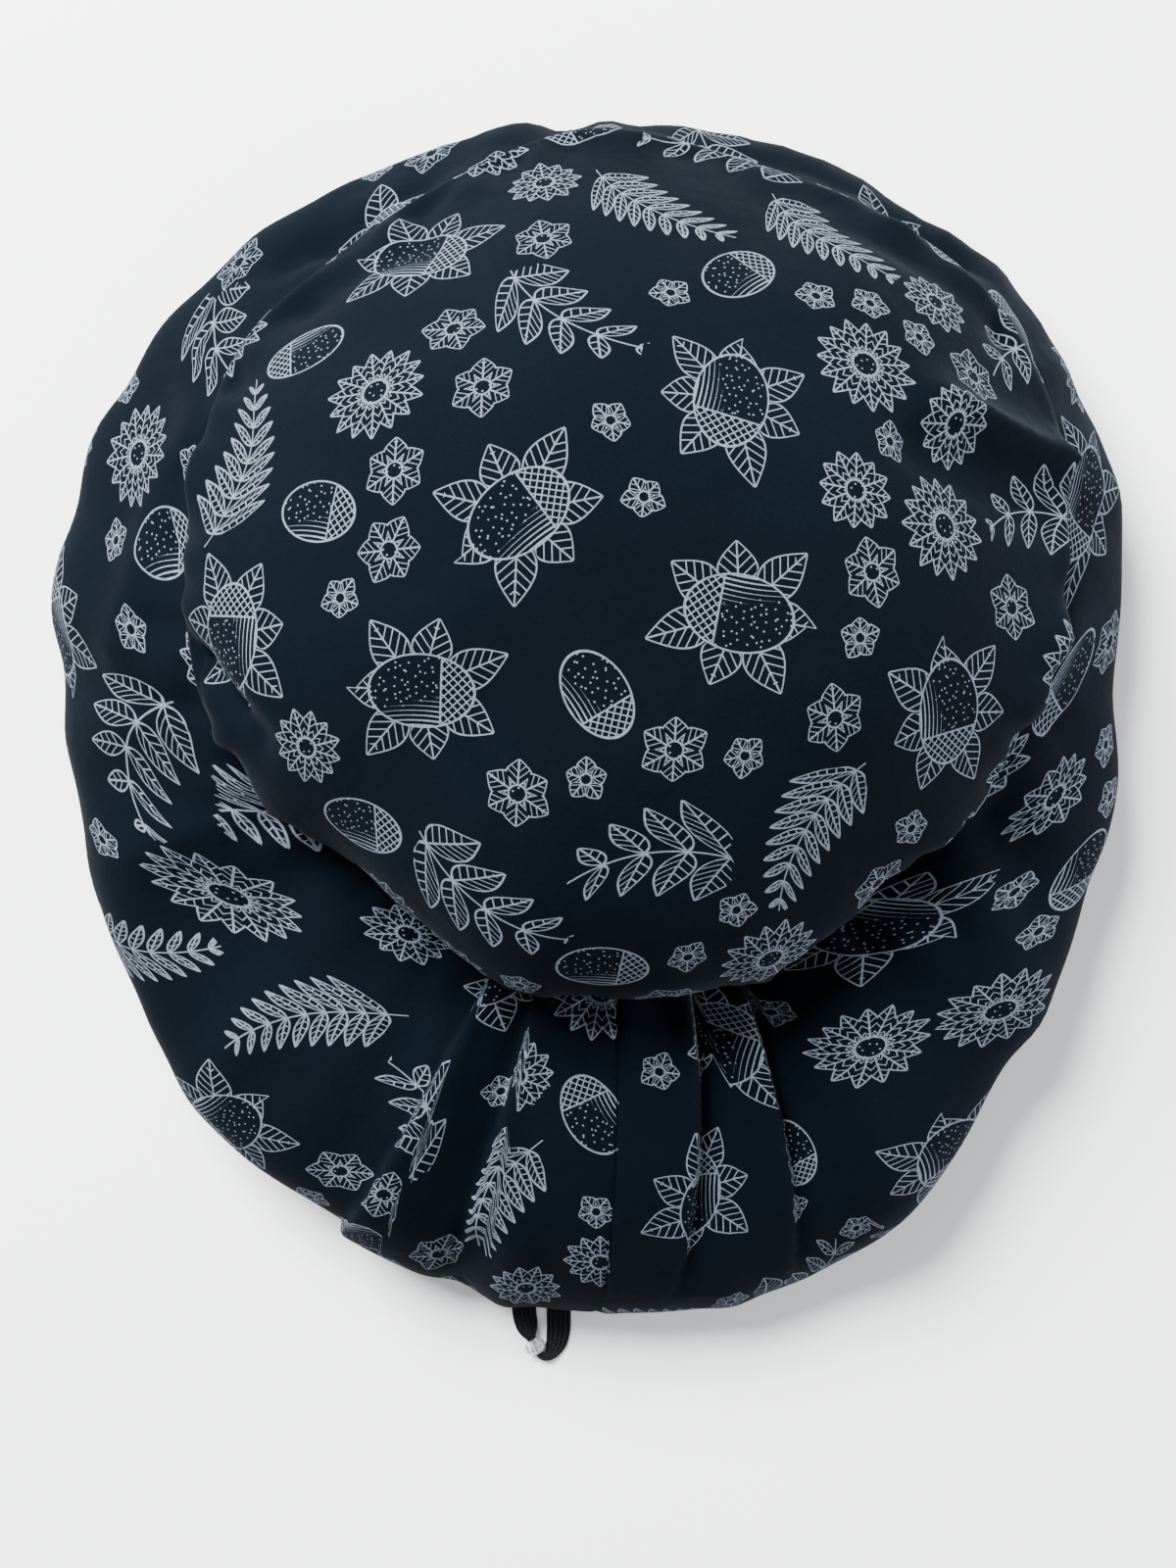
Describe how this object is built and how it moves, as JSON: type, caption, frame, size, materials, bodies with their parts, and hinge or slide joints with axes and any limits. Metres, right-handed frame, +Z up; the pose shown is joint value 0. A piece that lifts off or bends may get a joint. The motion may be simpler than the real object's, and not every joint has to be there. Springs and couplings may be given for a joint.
{
  "type": "scrub cap",
  "caption": "Puffed cotton scrub cap lying crown up, with an oval crown panel, a pleated side band and a short elastic loop with a bead at the nape.",
  "frame": {"origin": "on the surface that the cap lies on, under the middle of its bounding box", "axes": "+Z up through the crown, +Y towards the forehead and -Y towards the nape and its elastic, +X to the right as seen from above with the nape nearest"},
  "size_m": [0.2719, 0.3228, 0.112],
  "materials": {
    "crown_cotton": "matte printed cotton",
    "band_cotton": "matte printed cotton",
    "hem_cotton": "matte cotton",
    "elastic": "ribbed braid",
    "bead": "clear faceted acrylic"
  },
  "bodies": {
    "root": {"crown_panel": "crown_cotton", "side_band": "band_cotton", "rim_hem": "hem_cotton", "elastic_loop": "elastic", "stop_bead": "bead"}
  },
  "joints": []
}
